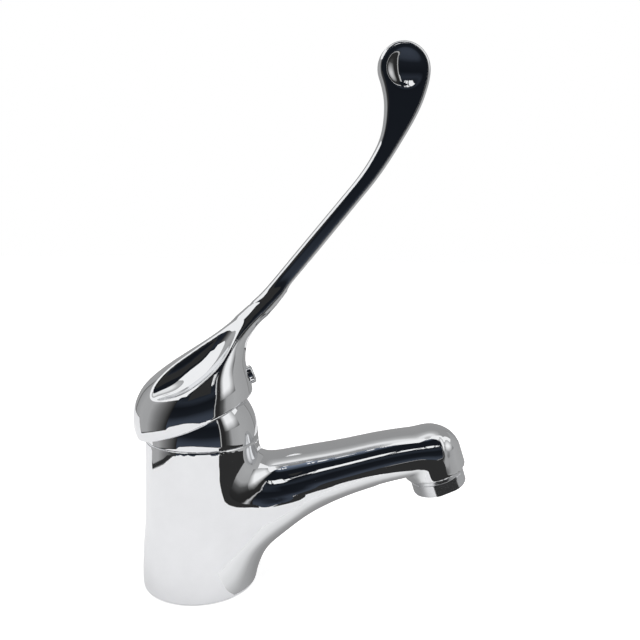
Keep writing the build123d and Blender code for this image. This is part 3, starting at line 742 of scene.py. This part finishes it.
tree.links.new(shader.outputs["BSDF"], both.inputs[0])
tree.links.new(extra, both.inputs[1])
tree.links.new(both.outputs[0], tree.nodes["Material Output"].inputs["Surface"])
corners = [(i * floor_size, j * floor_size, 0.0) for i, j in ((-1, -1), (1, -1), (1, 1), (-1, 1))]
stage_mesh("floor", corners, [(0, 1, 2, 3)], floor_paint)

world = bpy.data.worlds.new("studio")
bpy.context.scene.world = world
world.use_nodes = True
tree = world.node_tree
tree.nodes.clear()
world_out = tree.nodes.new("ShaderNodeOutputWorld")
white = node(tree, "ShaderNodeBackground", Color=(1.0, 1.0, 1.0, 1.0), Strength=1.0)
room = node(tree, "ShaderNodeBackground", Color=(0.60, 0.60, 0.60, 1.0), Strength=0.60)
background = seen_by(tree, "Is Camera Ray", "Is Glossy Ray", "Is Transmission Ray")
mix = blend_shaders(tree, background, room.outputs[0], white.outputs[0])
tree.links.new(mix, world_out.inputs["Surface"])


def card_paint(name, sides, heights, tint=(1.0, 1.0, 1.0)):
    """A glow whose grey follows (degrees round the tap, grey) and (degrees up, factor) stops."""
    material = bpy.data.materials.new(name)
    material.use_nodes = True
    tree = material.node_tree
    tree.nodes.clear()
    place = tree.nodes.new("ShaderNodeTexCoord").outputs["Object"]
    turned = node(tree, "ShaderNodeMapping", Vector=place, Rotation=(0.0, 0.0, math.radians(90)))
    around = node(tree, "ShaderNodeTexGradient", Vector=turned.outputs[0])
    around.gradient_type = "RADIAL"
    side = ramp(tree, around.outputs["Fac"], [(turn / 360 + 0.5, grey) for turn, grey in sides])
    length = tree.nodes.new("ShaderNodeVectorMath")
    length.operation = "NORMALIZE"
    tree.links.new(place, length.inputs[0])
    rise = node(tree, "ShaderNodeSeparateXYZ", Vector=length.outputs[0]).outputs["Z"]
    share = node(tree, "ShaderNodeMapRange", Value=rise)
    share.inputs["From Min"].default_value = -1.0
    up = ramp(tree, share.outputs["Result"], [
        (0.5 + 0.5 * math.sin(math.radians(angle)), factor) for angle, factor in heights
    ])
    shade = tree.nodes.new("ShaderNodeVectorMath")
    shade.operation = "MULTIPLY"
    tree.links.new(side, shade.inputs[0])
    tree.links.new(up, shade.inputs[1])
    colour = tree.nodes.new("ShaderNodeVectorMath")
    colour.operation = "MULTIPLY"
    tree.links.new(shade.outputs[0], colour.inputs[0])
    colour.inputs[1].default_value = tint
    glow = node(tree, "ShaderNodeEmission", Color=colour.outputs[0], Strength=1.0)
    output = tree.nodes.new("ShaderNodeOutputMaterial")
    tree.links.new(glow.outputs[0], output.inputs["Surface"])
    return material


eye_height = 0.08
wall_reach = 2.5
card_step = 1.5

# The white table's edge, as (degrees round the tap, metres from its axis)
table_outline = [
    (-180, 0.60), (-119, 0.60), (-116, 0.19), (-113, 0.176), (-80, 0.196), (-52, 0.222),
    (-46, 0.30), (-20, 0.38), (0, 0.34), (25, 0.27), (46, 0.23), (49, 0.205), (60, 0.175), (90, 0.17),
    (120, 0.20), (135, 0.45), (180, 0.60),
]


def unseen_but_mirrored(made):
    """Leaves a stage piece to reflections alone."""
    made.visible_camera = False
    made.visible_diffuse = False
    made.visible_shadow = False
    made.visible_transmission = False


def card(name, turns, profile, material, centre=(0.0, 0.0, eye_height)):
    """A card round a centre, between two directions, through (distance, height) points.

    A distance below zero is a factor on the distance to the table's edge, for a centre on the axis.
    """
    count = int((turns[1] - turns[0]) / card_step) + 1
    points = []
    for turn in np.linspace(*turns, count):
        edge = np.interp(turn, *zip(*table_outline))
        x, y = math.sin(math.radians(turn)), -math.cos(math.radians(turn))
        for distance, height in profile:
            reach = distance if distance > 0 else -distance * edge
            points.append((reach * x, reach * y, height - centre[2]))
    rows = len(profile)
    faces = [
        (i * rows + j, i * rows + j + 1, (i + 1) * rows + j + 1, (i + 1) * rows + j)
        for i in range(count - 1) for j in range(rows - 1)
    ]
    made = stage_mesh(name, points, faces, material)
    made.location = centre
    unseen_but_mirrored(made)


def upright(low, high, reach=wall_reach):
    """A profile that rises from one angle above the horizon to another."""
    angles = np.radians(np.linspace(low, high, 12))
    return [(reach * math.cos(a), eye_height + reach * math.sin(a)) for a in angles]


# Stops that give a card the same light at every height
even = [(-90, 1.0), (90, 1.0)]
left_paint = card_paint("left_card_paint", [
    (-180, 0.36), (-142, 0.37), (-141, 0.04), (-139.5, 0.04), (-138.5, 0.33), (-118, 0.42),
    (-95, 0.40), (-80, 0.22), (-67, 0.11), (-52, 0.012),
], even)
front_paint = card_paint("front_card_paint", [(-60, 1.0), (60, 1.0)], [
    (-40, 1.0), (-6, 0.55), (6, 0.14), (24, 0.10), (34, 0.30), (44, 0.12), (73, 0.12),
    (80, 1.2), (90, 2.6),
], (0.075, 0.092, 0.125))
right_paint = card_paint("right_card_paint", [
    (33, 0.016), (34.2, 0.016), (34.6, 0.6), (35.4, 0.6), (35.8, 0.020), (44, 0.026), (52, 0.10),
    (60, 0.38), (80, 0.43), (118, 0.38), (129.5, 0.38), (130, 0.12), (130.8, 0.12), (131.4, 0.34),
    (180, 0.33),
], even)
back_paint = card_paint("back_card_paint", [(100, 0.33), (180, 0.33)], [
    (30, 1.0), (56, 1.0), (64, 1.25), (70, 1.6), (76, 2.8), (80, 2.6), (86, 1.0), (90, 0.7),
])
edge_paint = card_paint("edge_paint", [(-180, 0.03), (180, 0.03)], even)
lamp_paint = card_paint("lamp_paint", [(-180, 1.0), (180, 1.0)], even)
softbox_paint = card_paint("softbox_paint", [
    (44, 0.06), (54, 1.0), (69, 1.0), (84, 0.42),
], [(12, 0.30), (26, 1.0), (58, 1.0), (67, 0.6)])
shadow_paint = card_paint("shadow_paint", [
    (92, 0.93), (99, 0.78), (104, 0.42), (109, 0.30), (180, 0.30),
], even)

# The room beyond the table, its edge, and the tap's shadow on it
beyond_table = [(-1.0, 0.003), (wall_reach, 0.003)]
shadow_centre = (-0.08, -0.045, 0.0)
card("table_edge", (-180, 180), [(-1.0, 0.0035), (-1.06, 0.0035)], edge_paint)
card("left_card", (-180, -52), beyond_table + upright(0, 37)[1:], left_paint)
card("shadow_card", (90, 150), [(0.098, 0.002), (0.36, 0.002)], shadow_paint, shadow_centre)
card("front_card", (-52, 33), beyond_table + upright(0, 42)[1:], front_paint)
card("front_top_card", (-38, 50), upright(42, 89), front_paint)
card("right_card", (33, 180), beyond_table + upright(0, 30)[1:], right_paint)
card("slate_card", (34, 50), upright(30, 42), right_paint)
card("back_card", (100, 180), upright(30, 89), back_paint)
card("back_left_top_card", (-180, -150), upright(55, 89), back_paint)
card("zenith_left_card", (-150, -38), upright(63, 89), back_paint)
card("zenith_right_card", (50, 100), upright(81, 89), back_paint)


def flat(name, outline, material):
    """A flat card with this outline."""
    unseen_but_mirrored(stage_mesh(name, outline, [tuple(range(len(outline)))], material))


def strip(name, start, end, y, half, height):
    """A level ceiling light along the spout."""
    sides = [(start, y - half), (end, y - half), (end, y + half), (start, y + half)]
    flat(name, [(*side, height) for side in sides], lamp_paint)


# A dark card beside the spout, and one that keeps the ceiling lights off the cap
flag_height = 0.02
flag_outline = [
    (0.064, -0.070), (0.085, -0.052), (0.100, -0.040), (0.114, -0.020), (0.17, -0.02), (0.17, -0.16),
    (0.09, -0.16), (0.068, -0.12),
]
flat("spout_flag", [(x, y, flag_height) for x, y in flag_outline], edge_paint)
cap_flag_outline = [(-0.06, 0.17), (0.042, 0.17), (0.042, 0.25), (-0.06, 0.25)]
cap_flag_place = -0.12
flat("cap_flag", [(x, cap_flag_place, z) for x, z in cap_flag_outline], edge_paint)

# Two rows of ceiling lights along the spout, as (start, end, half width)
near_place, near_height = -0.82, 0.98
far_place, far_height = -0.14, 1.2
near_row = [(0.030 + 0.009 * i, 0.0345 + 0.009 * i, 0.03) for i in range(6)]
near_row += [(0.090, 0.13, 0.05), (0.135, 0.287, 0.12), (0.296, 0.302, 0.06), (0.316, 0.320, 0.11)]
near_row += [(0.324, 0.385, 0.09)]
near_row += [(0.395 + 0.017 * i, 0.405 + 0.017 * i, 0.08) for i in range(4)]
far_row = [(0.018, 0.036, 0.03), (0.044, 0.057, 0.04), (0.073, 0.102, 0.04), (0.114, 0.136, 0.035)]
far_row += [(0.165 + 0.014 * i, 0.172 + 0.014 * i, 0.03) for i in range(5)]
for i, (start, end, half) in enumerate(near_row):
    strip(f"near_light_{i}", start, end, near_place, half, near_height)
for i, (start, end, half) in enumerate(far_row):
    strip(f"far_light_{i}", start, end, far_place, half, far_height)
softbox_reach = 2.2
card("softbox_card", (44, 84), upright(12, 67, softbox_reach), softbox_paint)


def lamp(name, place, target, size, power):
    """A square softbox that faces its target."""
    data = bpy.data.lights.new(name, "AREA")
    data.shape = "SQUARE"
    data.size = size
    data.energy = power
    made = bpy.data.objects.new(name, data)
    made.location = place
    made.visible_glossy = False
    facing = Vector(target) - Vector(place)
    made.rotation_mode = "QUATERNION"
    made.rotation_quaternion = facing.to_track_quat("-Z", "Y")
    bpy.context.scene.collection.objects.link(made)


lamp("overhead_lamp", (0.1, -0.1, 1.3), (0.05, 0, 0.1), 0.9, 8.0)
lamp("left_lamp", (-1.0, -0.4, 0.8), (0.05, 0, 0.1), 0.6, 2.5)
